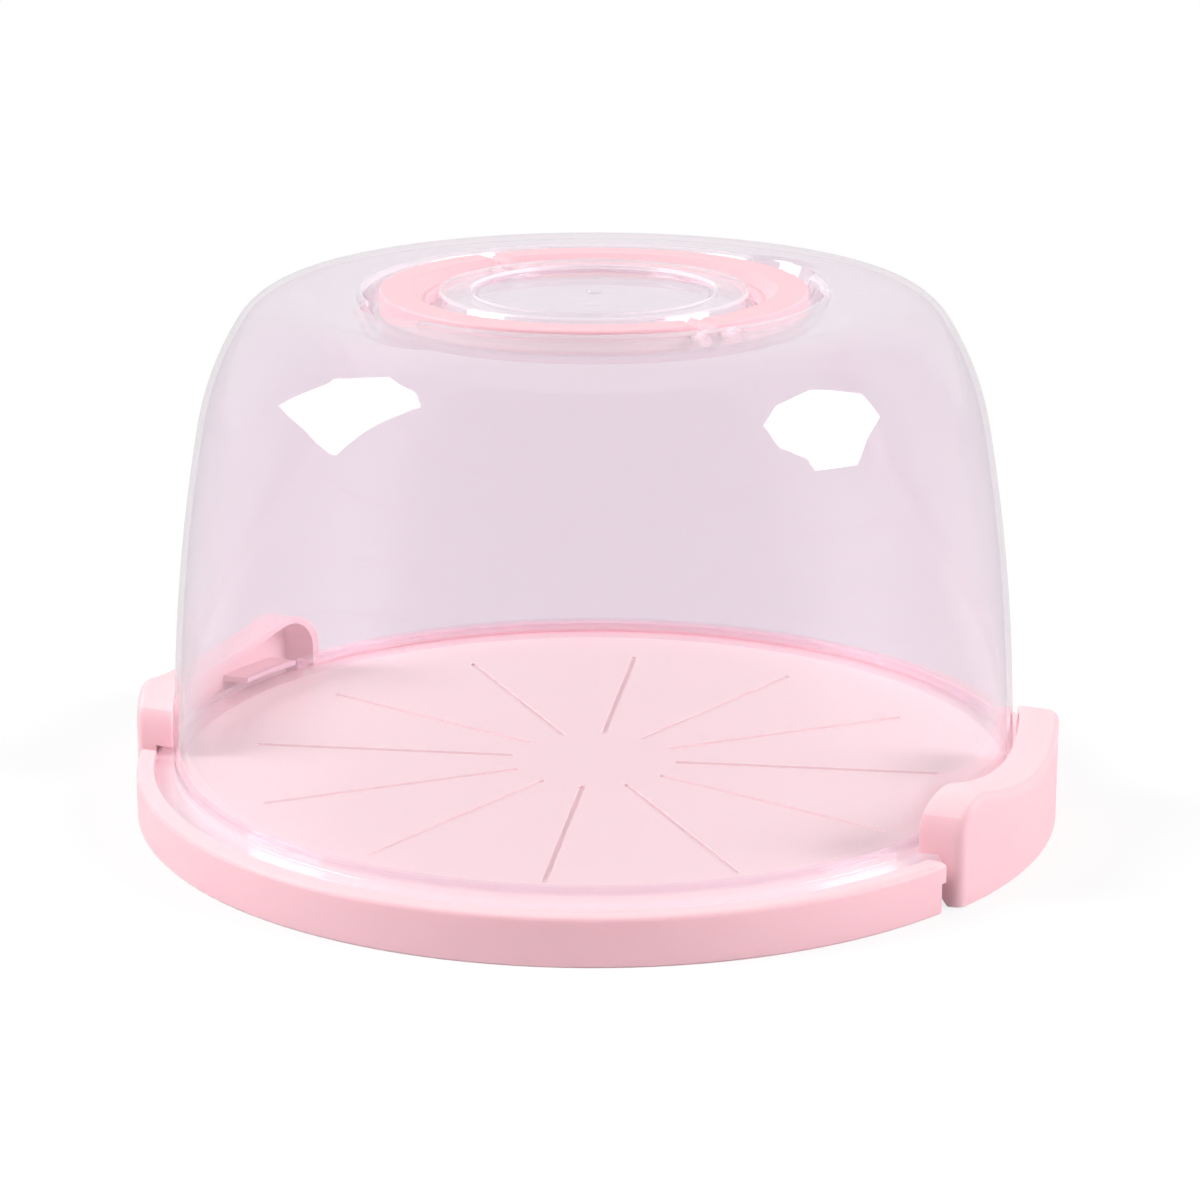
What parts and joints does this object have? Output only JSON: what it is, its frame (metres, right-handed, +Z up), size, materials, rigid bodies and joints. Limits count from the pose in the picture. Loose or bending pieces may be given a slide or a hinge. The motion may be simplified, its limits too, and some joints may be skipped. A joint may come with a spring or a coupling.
{
  "type": "cake and cupcake carrier",
  "caption": "Round carrier for a cake or cupcakes: a low tray with slice guides, a clear lift-off dome, side latches that swing out and a two-part ring handle that folds into the dome's top.",
  "frame": {"origin": "centre of the underside, in the plane the tray stands on", "axes": "+Z up, +X towards the right latch, +Y to the back; the handle's seam lies 36.5 degrees clockwise of +X seen from above"},
  "size_m": [0.314, 0.31, 0.1771],
  "materials": {
    "pink_plastic": "moulded polypropylene, satin",
    "clear_plastic": "clear moulded plastic, polished",
    "pin_steel": "drawn wire"
  },
  "bodies": {
    "tray": {"base_tray": "pink_plastic", "latch_pin_right": "pin_steel", "latch_pin_left": "pin_steel"},
    "dome": {"dome_lid": "clear_plastic"},
    "right_latch": {"latch_right": "pink_plastic"},
    "left_latch": {"latch_left": "pink_plastic"},
    "rear_handle": {"handle_rear": "pink_plastic"},
    "front_handle": {"handle_front": "pink_plastic"}
  },
  "joints": [
    {"name": "dome_lift", "type": "slide", "parent": "tray", "child": "dome", "axis": [0, 0, 1], "range_m": [0, 0.2]},
    {"name": "right_latch_swing", "type": "hinge", "parent": "tray", "child": "right_latch", "pos_m": [0.1495, 0, 0.0073], "axis": [0, 1, 0], "range_deg": [0, 80]},
    {"name": "left_latch_swing", "type": "hinge", "parent": "tray", "child": "left_latch", "pos_m": [-0.1495, 0, 0.0073], "axis": [0, -1, 0], "range_deg": [0, 80]},
    {"name": "rear_handle_swing", "type": "hinge", "parent": "dome", "child": "rear_handle", "pos_m": [0.00327, 0.00442, 0.17314], "axis": [0.8039, -0.5948, 0], "range_deg": [0, 88]},
    {"name": "front_handle_swing", "type": "hinge", "parent": "dome", "child": "front_handle", "pos_m": [-0.00327, -0.00442, 0.17314], "axis": [-0.8039, 0.5948, 0], "range_deg": [0, 88]}
  ]
}
